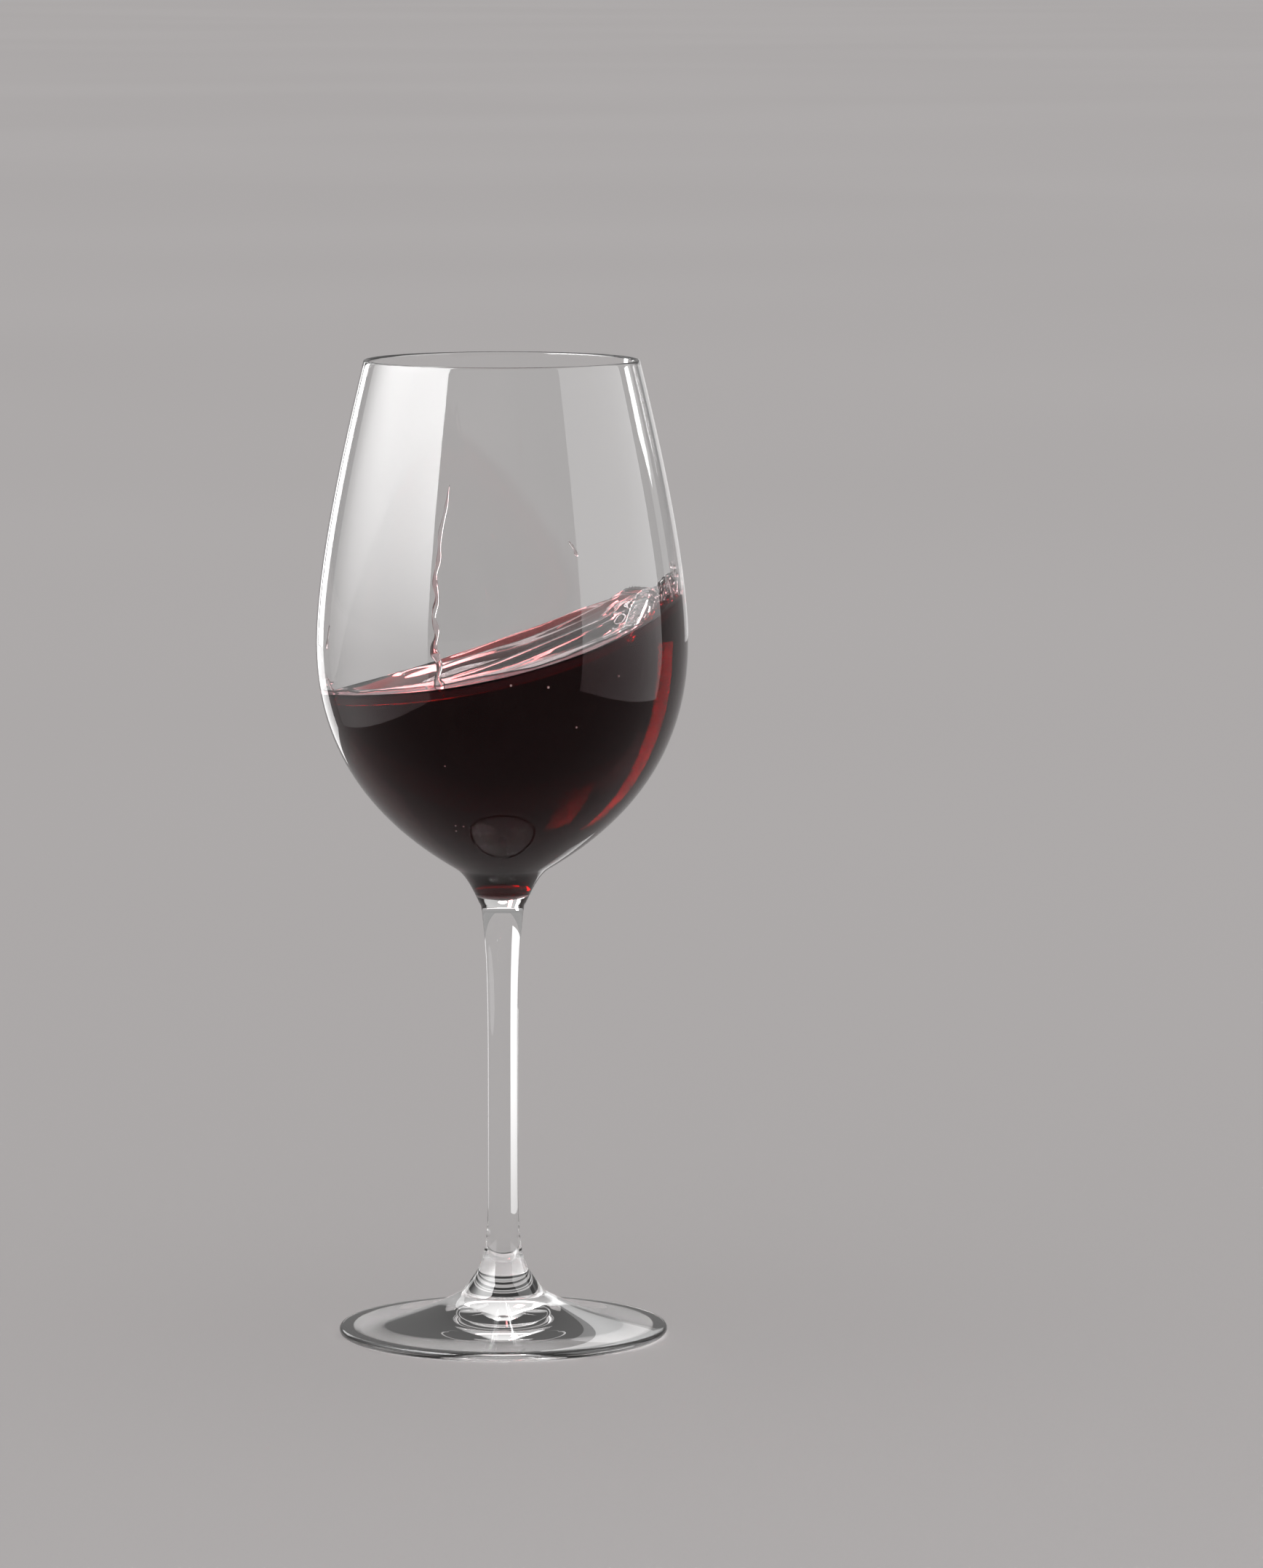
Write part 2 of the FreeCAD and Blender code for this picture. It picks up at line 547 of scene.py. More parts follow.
@dataclass(frozen=True)
class PaleFloor:
    """A plain, pale, matt studio floor."""

    name: str = "studio_floor"
    low: Colour = (0.508, 0.493, 0.493)
    high: Colour = (0.522, 0.507, 0.507)

    def material(self) -> bpy.types.Material:
        """Builds the material.

        Returns:
            The finished material.
        """
        bench = NodeBench(self.name)
        bench.shader.inputs["Roughness"].default_value = 0.85
        bench.shader.inputs["Specular IOR Level"].default_value = 0.0
        bench.paint(bench.relief(scale=0.8, detail=1.0), (0.35, 0.65), self.low, self.high)
        return bench.material


# ---------------------------------------------------------------------------------------------------
# The glass
# ---------------------------------------------------------------------------------------------------


class GlassFace(Enum):
    """What lies against a face of the glass."""

    BARE = "clear_glass"
    WETTED = "clear_glass_wetted"
    BACKED = "clear_glass_on_wine"


# Colour of what each face mirrors straight on. Glass that lies against wine mirrors less than bare glass.
REFLECTIONS = {
    GlassFace.BARE: (1.0, 1.0, 1.0),
    GlassFace.WETTED: (0.0, 0.0, 0.0),
    GlassFace.BACKED: (0.32, 0.24, 0.25),
}


@dataclass
class BlownGlass:
    """The glass: foot, stem and bowl in one piece."""

    belly_radius: float
    lip_height: float
    stem_height: float = 0.1033
    funnel_height: float = 0.0083
    lower_bowl_height: float = 0.0534
    lip_radius: float = 0.0326
    lip_wall: float = 0.0011
    belly_wall: float = 0.0012
    floor_wall: float = 0.0018
    lip_lean: float = 13.8
    lip_reach: float = 0.0173
    belly_reach_up: float = 0.0189
    belly_reach_down: float = 0.0242
    floor_radius: float = 0.0114
    floor_slope: float = 30.6
    floor_reach: float = 0.0238
    funnel_reach: float = 0.0032
    join_radius: float = 0.0056
    join_lean: float = 26.0
    join_reach: float = 0.0036
    join_step: float = 0.00045
    join_drop: float = 0.0008
    well_thickness: float = 0.0017
    well_reach_in: float = 0.004
    well_reach_out: float = 0.0075
    stem_radius: float = 0.0036
    taper_length: float = 0.0405
    taper_lean: float = 7.6
    taper_reach_top: float = 0.0107
    taper_reach_bottom: float = 0.0202
    flare_height: float = 0.0284
    flare_reach_down: float = 0.020
    flare_reach_out: float = 0.009
    flare_slope: float = 50.0
    foot_radius: float = 0.0391
    foot_edge: float = 0.0019
    shoulder_radius: float = 0.0102
    shoulder_height: float = 0.0096
    shoulder_slope: float = 32.0
    shoulder_reach: float = 0.0077
    edge_slope: float = 4.0
    edge_reach: float = 0.012
    seat_width: float = 0.0026
    hollow_height: float = 0.004
    hollow_reach_in: float = 0.008
    hollow_reach_out: float = 0.014
    columns: int = 192
    inner: np.ndarray = field(init=False)

    def __post_init__(self) -> None:
        """Works out the inside of the bowl, which the wine shares."""
        self.inner = self.inside()

    @classmethod
    def from_frame(cls) -> BlownGlass:
        """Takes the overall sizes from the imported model.

        Returns:
            The glass, not built yet.
        """
        low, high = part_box("glass")
        return cls(belly_radius=min(high.x, -low.x), lip_height=high.z)

    @property
    def outer_floor(self) -> Point2:
        """Outer end of the bowl's floor, where the funnel starts."""
        return self.floor_radius, self.stem_height + self.funnel_height

    @property
    def belly_height(self) -> float:
        """Height of the widest part of the bowl."""
        return self.outer_floor[1] + self.lower_bowl_height

    @property
    def lip_centre(self) -> Point2:
        """Middle of the lip's half-round."""
        half = self.lip_wall / 2
        return self.lip_radius - half * math.cos(math.radians(self.lip_lean)), self.lip_height - half

    def wall_side(self, lip_end: Point2, belly_radius: float, base: Point2) -> np.ndarray:
        """One side of the bowl's wall, from the floor up to the lip.

        Args:
            lip_end: Where the side meets the lip.
            belly_radius: The side's radius at the belly.
            base: Where the side leaves the floor.

        Returns:
            The side's points.
        """
        belly = (belly_radius, self.belly_height)
        return joined(
            curve(
                base,
                towards(base, self.floor_reach, self.floor_slope),
                towards(belly, self.belly_reach_down, -90.0),
                belly,
                steps=56,
            ),
            curve(
                belly,
                towards(belly, self.belly_reach_up, 90.0),
                towards(lip_end, self.lip_reach, self.lip_lean - 90.0),
                lip_end,
                steps=44,
            ),
        )

    def foot_outside(self) -> np.ndarray:
        """From the axis under the foot, over the seat and round the edge, to the shoulder.

        Returns:
            The outline's points.
        """
        half = self.foot_edge / 2
        edge_middle = (self.foot_radius - half, half)
        seat_outer = (edge_middle[0], 0.0)
        seat_inner = (seat_outer[0] - self.seat_width, 0.0)
        hollow_top = (0.0, self.hollow_height)
        edge_top = towards(edge_middle, half, 90.0 - self.edge_slope)
        shoulder = (self.shoulder_radius, self.shoulder_height)
        return joined(
            curve(
                hollow_top,
                towards(hollow_top, self.hollow_reach_in, 0.0),
                towards(seat_inner, self.hollow_reach_out, 180.0 - self.edge_slope),
                seat_inner,
                steps=36,
            ),
            np.linspace(seat_inner, seat_outer, num=4),
            arc(edge_middle, half, -90.0, 90.0 - self.edge_slope, steps=14),
            curve(
                edge_top,
                towards(edge_top, self.edge_reach, 180.0 - self.edge_slope),
                towards(shoulder, self.shoulder_reach, -self.shoulder_slope),
                shoulder,
                steps=36,
            ),
        )

    def stem_outside(self) -> np.ndarray:
        """From the shoulder up the flare and the stem, over the joint and the funnel, to the floor.

        Returns:
            The outline's points.
        """
        shoulder = (self.shoulder_radius, self.shoulder_height)
        straight_bottom = (self.stem_radius, self.shoulder_height + self.flare_height)
        stem_top = (self.join_radius - self.join_step, self.stem_height - self.join_drop)
        straight_top = (self.stem_radius, stem_top[1] - self.taper_length)
        join = (self.join_radius, self.stem_height)
        return joined(
            curve(
                shoulder,
                towards(shoulder, self.flare_reach_out, 180.0 - self.flare_slope),
                towards(straight_bottom, self.flare_reach_down, -90.0),
                straight_bottom,
                steps=32,
            ),
            np.linspace(straight_bottom, straight_top, num=10),
            curve(
                straight_top,
                towards(straight_top, self.taper_reach_bottom, 90.0),
                towards(stem_top, self.taper_reach_top, -90.0 - self.taper_lean),
                stem_top,
                steps=26,
            ),
            np.linspace(stem_top, join, num=4),
            curve(
                join,
                towards(join, self.join_reach, 90.0 - self.join_lean),
                towards(self.outer_floor, self.funnel_reach, 180.0 + self.floor_slope),
                self.outer_floor,
                steps=14,
            ),
        )

    def bowl_outside(self) -> np.ndarray:
        """The bowl's outside, from its floor up to the lip."""
        lip_outer = towards(self.lip_centre, self.lip_wall / 2, self.lip_lean)
        return self.wall_side(lip_outer, self.belly_radius, self.outer_floor)

    def inside(self) -> np.ndarray:
        """The bowl's inside, from its lowest point on the axis up to the lip.

        Returns:
            The outline's points.
        """
        well = (0.0, self.stem_height + self.well_thickness)
        floor = towards(self.outer_floor, self.floor_wall, self.floor_slope + 90.0)
        lip_inner = towards(self.lip_centre, self.lip_wall / 2, self.lip_lean + 180.0)
        return joined(
            curve(
                well,
                towards(well, self.well_reach_out, 0.0),
                towards(floor, self.well_reach_in, 180.0 + self.floor_slope),
                floor,
                steps=18,
            ),
            self.wall_side(lip_inner, self.belly_radius - self.belly_wall, floor),
        )

    def inside_radius(self, height: float | np.ndarray) -> float | np.ndarray:
        """Radius of the inside at a height."""
        return np.interp(height, self.inner[:, 1], self.inner[:, 0])

    def outline(self) -> np.ndarray:
        """The whole outline, from under the foot up the outside and down the inside.

        Returns:
            The outline's points.
        """
        return joined(
            self.foot_outside(),
            self.stem_outside(),
            self.bowl_outside(),
            arc(self.lip_centre, self.lip_wall / 2, self.lip_lean, self.lip_lean + 180.0, steps=12),
            self.inner[::-1],
        )

    def wall_sides(self) -> dict[GlassFace, np.ndarray]:
        """The bowl's two sides, as points that rise from the floor to the lip."""
        return {GlassFace.BACKED: self.bowl_outside(), GlassFace.WETTED: self.inner}

    def side_at(self, place: Vector) -> GlassFace:
        """Tells which side of the bowl a place on the glass is on.

        Args:
            place: A place on the glass, before the sides are slid to the wine's edge.

        Returns:
            WETTED for the inside, BACKED for the outside, and BARE for the rest of the glass.
        """
        if place.z < self.stem_height:
            return GlassFace.BARE
        off_inside = abs(math.hypot(place.x, place.y) - float(self.inside_radius(place.z)))
        if off_inside < self.lip_wall / 4:
            return GlassFace.WETTED
        return GlassFace.BARE if place.z < self.outer_floor[1] else GlassFace.BACKED

    def dress(self, piece: bpy.types.Object, level: dict[GlassFace, float]) -> None:
        """Gives each face of the glass the finish for what lies against it.

        Args:
            piece: The glass.
            level: For each side of the bowl, height of the ring that is to follow the wine's edge.
        """
        order = list(GlassFace)
        for face in order:
            piece.data.materials.append(ClearGlass(face.value, reflection=REFLECTIONS[face]).material())
        for polygon in piece.data.polygons:
            side = self.side_at(polygon.center)
            covered = side is not GlassFace.BARE and polygon.center.z < level[side]
            polygon.material_index = order.index(side if covered else GlassFace.BARE)

    def build(self, wine: SwirledWine) -> bpy.types.Object:
        """Makes the glass, with a ring of edges along the wine's edge on both sides of the wall.

        Args:
            wine: What stands in the bowl.

        Returns:
            The finished piece.
        """
        vertices, faces = turned(self.outline(), self.columns)
        piece = new_piece("blown_glass", vertices, faces)
        sides = self.wall_sides()
        level = {}
        for side, line in sides.items():
            nearest = np.argmin(abs(line[:, 1] - self.belly_height))
            level[side] = line[nearest, 1]
        self.dress(piece, level)
        for vertex in piece.data.vertices:
            side = self.side_at(vertex.co)
            if side is not GlassFace.BARE:
                self.slide(vertex, sides[side], level[side], wine)
        declare(piece, Slot.GLASS, "glass")
        return piece

    @staticmethod
    def slide(vertex: bpy.types.MeshVertex, side: np.ndarray, level: float, wine: SwirledWine) -> None:
        """Moves a vertex along the wall, so that the ring at a level comes to lie on the wine's edge.

        Args:
            vertex: The vertex.
            side: The side of the wall that it is on, as points of radius and height.
            level: Height of the ring that is to follow the edge.
            wine: The wine.
        """
        low, high = side[0][1], side[-1][1]
        height = vertex.co.z
        reach = (height - low) / (level - low) if height < level else (high - height) / (high - level)
        if not 0.0 < reach <= 1.0:
            return
        angle = math.atan2(vertex.co.y, vertex.co.x)
        height += (wine.edge_height(angle) - level) * reach
        radius = float(np.interp(height, side[:, 1], side[:, 0]))
        vertex.co = (radius * math.cos(angle), radius * math.sin(angle), height)


# ---------------------------------------------------------------------------------------------------
# The wine
# ---------------------------------------------------------------------------------------------------


@dataclass(frozen=True)
class Wave:
    """One layer of the surface's streaks: how long, wide and high they are."""

    length: float
    width: float
    height: float
    seed: float
    shift: float = 0.0
    octaves: int = 1

    def at(self, along: float, across: float) -> float:
        """Height of this layer over a place."""
        place = along / self.length + self.shift
        return self.height * grain(place, across / self.width, self.seed, self.octaves)


SWIRL_WAVES = (
    Wave(length=0.070, width=0.0150, height=0.0036, seed=3.1),
    Wave(length=0.045, width=0.0072, height=0.0014, seed=9.4, shift=7.0),
    Wave(length=0.022, width=0.0034, height=0.00014, seed=5.7, octaves=2),
)


@dataclass(frozen=True)
class Ridge:
    """The long wave that stands up towards the back of the surface."""

    place: float = 0.0235
    turn: float = 0.10
    waver: float = 0.0022
    waver_length: float = 0.018
    waver_place: float = 1.5
    waver_seed: float = 6.6
    width: float = 0.0065
    back_share: float = 0.55
    height: float = 0.0030
    start: float = -0.034
    full: float = 0.012
    even: float = 0.62
    swell: float = 0.9
    swell_length: float = 0.021
    swell_place: float = 0.4
    swell_seed: float = 7.7

    def at(self, x: float, y: float) -> float:
        """Height of the ridge over a place.

        Args:
            x: Place towards the side that the wine climbs.
            y: Place towards the back.

        Returns:
            The added height.
        """
        waver = self.waver * grain(x / self.waver_length, self.waver_place, self.waver_seed, 1)
        line = self.place + waver - self.turn * x
        width = self.width * (self.back_share if y > line else 1.0)
        swell = self.swell * grain(x / self.swell_length, self.swell_place, self.swell_seed, 2)
        along = float(smooth_step(x, self.start, self.full)) * (self.even + swell)
        return self.height * along * math.exp(-(((y - line) / width) ** 2))


@dataclass(frozen=True)
class Crumple:
    """The sharp little folds of the surface near the side that the wine climbs."""

    height: float = 0.0018
    start: float = 0.022
    full: float = 0.034
    length: float = 0.006
    lean: float = 0.02
    width: float = 0.009
    sharpness: float = 2.2
    seed: float = 2.2

    def at(self, x: float, y: float) -> float:
        """Height of the folds over a place.

        Args:
            x: Place towards the side that the wine climbs.
            y: Place towards the back.

        Returns:
            The added height, up or down.
        """
        fold = abs(grain(x / self.length + y / self.lean, y / self.width, self.seed, 2))
        return self.height * float(smooth_step(x, self.start, self.full)) * (1.0 - self.sharpness * fold)


@dataclass
class SwirledWine:
    """The wine in the bowl, up to its swirled surface. It bites into the wall a little, to leave no gap."""

    glass: BlownGlass
    depth: float = 0.0476
    rise: float = 0.0123
    back_rise: float = 0.0008
    curl: float = 0.0057
    curl_back: float = 0.0015
    twist: float = 0.0024
    ridge: Ridge = Ridge()
    crumple: Crumple = Crumple()
    wave_bend: float = 3.0
    wave_turn: float = 0.12
    smooth_share: float = 0.4
    rough_turn: float = 0.6
    rough_start: float = -0.026
    rough_full: float = 0.012
    back_climb: float = 0.0004
    front_climb: float = 0.0012
    climb_back: float = 0.01
    climb_front: float = 0.02
    meniscus_reach: float = 0.0011
    edge_calm_reach: float = 0.004
    edge_relief: float = 0.25
    bite: float = 0.00015
    contact_tries: int = 24
    columns: int = 360
    side_rows: int = 56
    side_packing: float = 1.6
    top_rows: int = 96
    top_packing: float = 1.25
    contacts: np.ndarray = field(init=False)

    def __post_init__(self) -> None:
        """Finds how high the wine stands on the wall, all round."""
        angles = np.linspace(0.0, 2 * math.pi, self.columns, endpoint=False)
        self.contacts = np.array([self.solve_contact(a) for a in angles])

    def calm_height(self, x: float, y: float) -> float:
        """Height of the slanted surface over a place, without its streaks.

        Args:
            x: Place towards the side that the wine climbs.
            y: Place towards the back.

        Returns:
            The height above the table.
        """
        reach = self.glass.belly_radius - self.glass.belly_wall
        across = x / reach
        back = y / reach
        return (
            self.glass.outer_floor[1]
            + self.depth
            + self.rise * across
            + self.back_rise * back
            + self.curl * across**2
            + self.curl_back * back**2
            + self.twist * across * back
        )

    def solve_contact(self, angle: float) -> float:
        """Finds where the surface meets the wall.

        Args:
            angle: Direction round the axis, in radians from +X.

        Returns:
            The height of the meeting point.
        """
        height = self.glass.belly_height
        for _ in range(self.contact_tries):
            radius = float(self.glass.inside_radius(height))
            height = self.calm_height(radius * math.cos(angle), radius * math.sin(angle))
        return height

    def contact_height(self, angle: float) -> float:
        """Height of the surface at the wall.

        Args:
            angle: Direction round the axis, in radians from +X.

        Returns:
            The height above the table.
        """
        place = (angle / (2 * math.pi)) % 1.0 * self.columns
        index = int(place) % self.columns
        share = place - int(place)
        following = (index + 1) % self.columns
        return float(self.contacts[index] * (1 - share) + self.contacts[following] * share)

    def climb(self, y: float) -> float:
        """How far the wine's edge climbs the wall: less at the back than at the front."""
        front = float(smooth_step(-y, -self.climb_back, self.climb_front))
        return self.back_climb + (self.front_climb - self.back_climb) * front

    def edge_height(self, angle: float) -> float:
        """Height of the very edge of the surface, in a direction in radians from +X."""
        reach = self.glass.belly_radius * math.sin(angle)
        return self.contact_height(angle) + self.climb(reach)

    def streaks(self, x: float, y: float) -> float:
        """Height that the swirl's streaks add over a place.

        Args:
            x: Place towards the side that the wine climbs.
            y: Place towards the back.

        Returns:
            The added height, up or down.
        """
        across = y - self.wave_bend * x * x + self.wave_turn * x
        rough = float(smooth_step(y + self.rough_turn * x, self.rough_start, self.rough_full))
        share = self.smooth_share + (1.0 - self.smooth_share) * rough
        return share * sum(wave.at(x, across) for wave in SWIRL_WAVES)

    def surface_height(self, x: float, y: float) -> float:
        """Height of the real surface over a place: the slant, the streaks, the ridge and the meniscus.

        Args:
            x: Place towards the side that the wine climbs.
            y: Place towards the back.

        Returns:
            The height above the table.
        """
        base = self.calm_height(x, y)
        gap = max(0.0, float(self.glass.inside_radius(base)) - math.hypot(x, y))
        meniscus = self.climb(y) * math.exp(-gap / self.meniscus_reach)
        inwards = float(smooth_step(gap, 0.0, self.edge_calm_reach))
        relief = self.streaks(x, y) + self.ridge.at(x, y) + self.crumple.at(x, y)
        return base + meniscus + relief * (self.edge_relief + (1.0 - self.edge_relief) * inwards)

    def build(self, material: bpy.types.Material) -> bpy.types.Object:
        """Makes the wine, from its side in the wall and its surface.

        Args:
            material: Its finish.

        Returns:
            The finished piece.
        """
        floor = self.glass.inner[0][1]
        angles = np.linspace(0.0, 2 * math.pi, self.columns, endpoint=False)
        edges = [self.edge_height(angle) for angle in angles]
        points = [(0.0, 0.0, floor - self.bite)]
        for share in np.linspace(0.0, 1.0, self.side_rows + 1)[1:]:
            for angle, edge in zip(angles, edges):
                z = floor + (edge - floor) * share**self.side_packing
                radius = float(self.glass.inside_radius(z)) + self.bite
                points.append((radius * math.cos(angle), radius * math.sin(angle), z))
        for row in range(1, self.top_rows):
            share = 1.0 - (row / self.top_rows) ** self.top_packing
            for angle, edge in zip(angles, edges):
                rim = float(self.glass.inside_radius(edge)) + self.bite
                x = rim * share * math.cos(angle)
                y = rim * share * math.sin(angle)
                points.append((x, y, self.surface_height(x, y)))
        points.append((0.0, 0.0, self.surface_height(0.0, 0.0)))
        rows = self.side_rows + self.top_rows - 1
        last = len(points) - 1
        faces = [tuple(v + 1 for v in face) for face in ring_faces(rows, self.columns)]
        faces += cap_faces(0, 1, self.columns, above=False)
        faces += cap_faces(last, last - self.columns, self.columns, above=True)
        piece = new_piece("red_wine", np.array(points), faces)
        piece.data.materials.append(material)
        declare(piece, Slot.WINE, "wine")
        return piece


@dataclass(frozen=True)
class Strand:
    """A leg or drip: where it hangs on the wall, how wide it is, and how it wavers.

    Angles are degrees round the axis from +X.
    """

    name: str
    angle: float
    top: float
    bottom: float
    half_width: float
    drift: float = 0.0
    bow: float = 0.0
    sway: float = 0.0
    turns: float = 3.0
    phase: float = 0.0
    beads: tuple[float, ...] = ()


@dataclass
class WallStrand:
    """Thin wine that clings to the inside of the wall in a strand."""

    strand: Strand
    glass: BlownGlass
    relief: float = 0.75
    bite: float = 0.00012
    bead_swell: float = 0.8
    bead_reach: float = 0.0010
    quickening: float = 1.4
    top_sway: float = 0.25
    second_sway: float = 0.3
    second_rate: float = 0.43
    second_phase: float = 1.0
    tip_width: float = 0.12
    top_width: float = 0.5
    top_taper: float = 0.12
    bottom_taper: float = 0.05
    swell: float = 0.18
    swell_rate: float = 1.7
    rows: int = 110
    sides: int = 16

    def at(self, share: float) -> tuple[float, float, float]:
        """Finds the strand's line and width.

        Args:
            share: Share of the way down it.

        Returns:
            Its angle in degrees, its height, and half of its width.
        """
        strand = self.strand
        turning = 2 * math.pi * (strand.turns * share**self.quickening + strand.phase)
        second = math.sin(self.second_rate * turning + self.second_phase)
        waver = math.sin(turning) + self.second_sway * second
        waver *= self.top_sway + (1.0 - self.top_sway) * share
        height = strand.top + (strand.bottom - strand.top) * share
        top_end = float(smooth_step(share, 0.0, self.top_taper))
        bottom_end = float(smooth_step(1.0 - share, 0.0, self.bottom_taper))
        body = top_end * bottom_end * (self.top_width + (1.0 - self.top_width) * share)
        swell = 1.0 + self.swell * math.sin(self.swell_rate * turning)
        width = strand.half_width * (self.tip_width + body) * swell
        for bead in strand.beads:
            nearness = math.exp(-(((height - bead) / self.bead_reach) ** 2))
            width += strand.half_width * self.bead_swell * nearness
        angle = strand.angle + strand.drift * share + strand.bow * math.sin(math.pi * share)
        return angle + strand.sway * waver, height, width

    def on_wall(self, angle: float, height: float) -> tuple[np.ndarray, np.ndarray]:
        """Finds a place on the inside of the wall.

        Args:
            angle: Degrees round the axis from +X.
            height: Height above the table.

        Returns:
            The place, and the direction from it into the bowl, square to the wall.
        """
        turn = math.radians(angle)
        inside = self.glass.inside_radius
        step = 0.0005
        radius = float(inside(height))
        slope = float(inside(height + step) - inside(height - step)) / (2 * step)
        place = np.array([radius * math.cos(turn), radius * math.sin(turn), height])
        out = np.array([math.cos(turn), math.sin(turn), -slope])
        return place, -out / np.linalg.norm(out)

    def build(self, material: bpy.types.Material) -> bpy.types.Object:
        """Makes the strand.

        Args:
            material: Its finish.

        Returns:
            The finished piece.
        """
        rows = [self.at(share) for share in np.linspace(0.0, 1.0, self.rows)]
        places = [self.on_wall(angle, height) for angle, height, _ in rows]
        centres = np.array([place for place, _ in places])
        headings = np.gradient(centres, axis=0)
        points = []
        for (centre, inward), heading, (_, _, half) in zip(places, headings, rows):
            side = np.cross(inward, heading)
            side /= np.linalg.norm(side)
            for turn in np.linspace(0.0, 2 * math.pi, self.sides, endpoint=False):
                lift = math.sin(turn)
                rise = self.relief * half * lift if lift > 0 else self.bite * lift
                points.append(centre + side * half * math.cos(turn) + inward * rise)
        tip = len(points)
        points += [centres[0], centres[-1]]
        faces = ring_faces(self.rows, self.sides)
        faces += cap_faces(tip, 0, self.sides, above=False)
        faces += cap_faces(tip + 1, tip - self.sides, self.sides, above=True)
        piece = new_piece(self.strand.name, np.array(points), faces)
        piece.data.materials.append(material)
        declare(piece, Slot.WINE)
        return piece


@dataclass
class WallSheet:
    """A sheet of thin wine on the inside of the wall, smooth or folded.

    Angles are degrees round the axis from +X. Its peak, folds and tapers are placed by shares of its width
    and of its height.
    """

    name: str
    wine: SwirledWine
    first_angle: float
    last_angle: float
    peak_share: float
    peak_height: float
    thickness: float
    fold_height: float = 0.0
    folds: float = 5.0
    fold_lean: float = 2.0
    steepness: float = 0.9
    rag: float = 0.3
    rim_bead: float = 0.0
    seed: float = 0.0
    root: float = 0.0012
    bite: float = 0.00012
    least_height: float = 0.0002
    rag_turns: float = 9.0
    rag_place: float = 0.3
    top_taper: float = 9.0
    side_taper: float = 14.0
    fold_sharpness: float = 2.4
    fold_power: float = 1.5
    fold_rise: float = 1.3
    bead_place: float = 0.86
    bead_width: float = 0.09
    columns: int = 110
    rows: int = 56

    def top(self, share: float) -> float:
        """How high the sheet climbs above the wine.

        Args:
            share: Share of the sheet's width, from its first angle.

        Returns:
            The height above the wine's calm edge.
        """
        side = share / self.peak_share if share < self.peak_share else (1 - share) / (1 - self.peak_share)
        ragged = 1.0 + self.rag * grain(share * self.rag_turns, self.rag_place, self.seed)
        return self.peak_height * max(0.0, side) ** self.steepness * ragged + self.least_height

    def depth(self, share: float, up: float) -> float:
        """How far the sheet stands into the bowl.

        Args:
            share: Share of the sheet's width, from its first angle.
            up: Share of the sheet's height, from its root.

        Returns:
            The depth, square to the axis.
        """
        edge = min(1.0, (1 - up) * self.top_taper, min(share, 1 - share) * self.side_taper)
        place = share * self.folds + up * self.fold_lean
        fold = max(0.0, 1.0 - self.fold_sharpness * abs(grain(place, up * self.fold_rise, self.seed, 2)))
        bead = self.rim_bead * math.exp(-(((self.bead_place - up) / self.bead_width) ** 2))
        body = self.thickness + self.fold_height * fold**self.fold_power + bead
        return body * math.sqrt(max(0.0, edge))

    def faces(self) -> Faces:
        """Faces of the sheet's front, its back and the rim between them.

        Returns:
            The faces, for the front's points, row by row, followed by the back's.
        """
        width = self.columns + 1
        total = width * (self.rows + 1)
        faces = []
        for j in range(self.rows):
            for i in range(self.columns):
                low, high = j * width + i, (j + 1) * width + i
                quad = (low, low + 1, high + 1, high)
                faces.append(quad[::-1])
                faces.append(tuple(total + v for v in quad))
        rim = [*range(width), *[j * width + self.columns for j in range(1, self.rows + 1)]]
        rim += [self.rows * width + i for i in range(self.columns - 1, -1, -1)]
        rim += [j * width for j in range(self.rows - 1, 0, -1)]
        faces += [(a, b, total + b, total + a) for a, b in zip(rim, rim[1:] + rim[:1])]
        return faces

    def build(self, material: bpy.types.Material) -> bpy.types.Object:
        """Makes the sheet, with a face in the bowl and a face in the wall.

        Args:
            material: Its finish.

        Returns:
            The finished piece.
        """
        glass = self.wine.glass
        front = []
        back = []
        for up in np.linspace(0.0, 1.0, self.rows + 1):
            for share in np.linspace(0.0, 1.0, self.columns + 1):
                turn = math.radians(self.first_angle + (self.last_angle - self.first_angle) * share)
                height = self.wine.contact_height(turn) - self.root + (self.top(share) + self.root) * up
                radius = float(glass.inside_radius(height))
                direction = np.array([math.cos(turn), math.sin(turn), 0.0])
                lift = np.array([0.0, 0.0, height])
                front.append(direction * (radius - self.depth(share, up)) + lift)
                back.append(direction * (radius + self.bite) + lift)
        piece = new_piece(self.name, np.array(front + back), self.faces())
        piece.data.materials.append(material)
        declare(piece, Slot.WINE)
        return piece


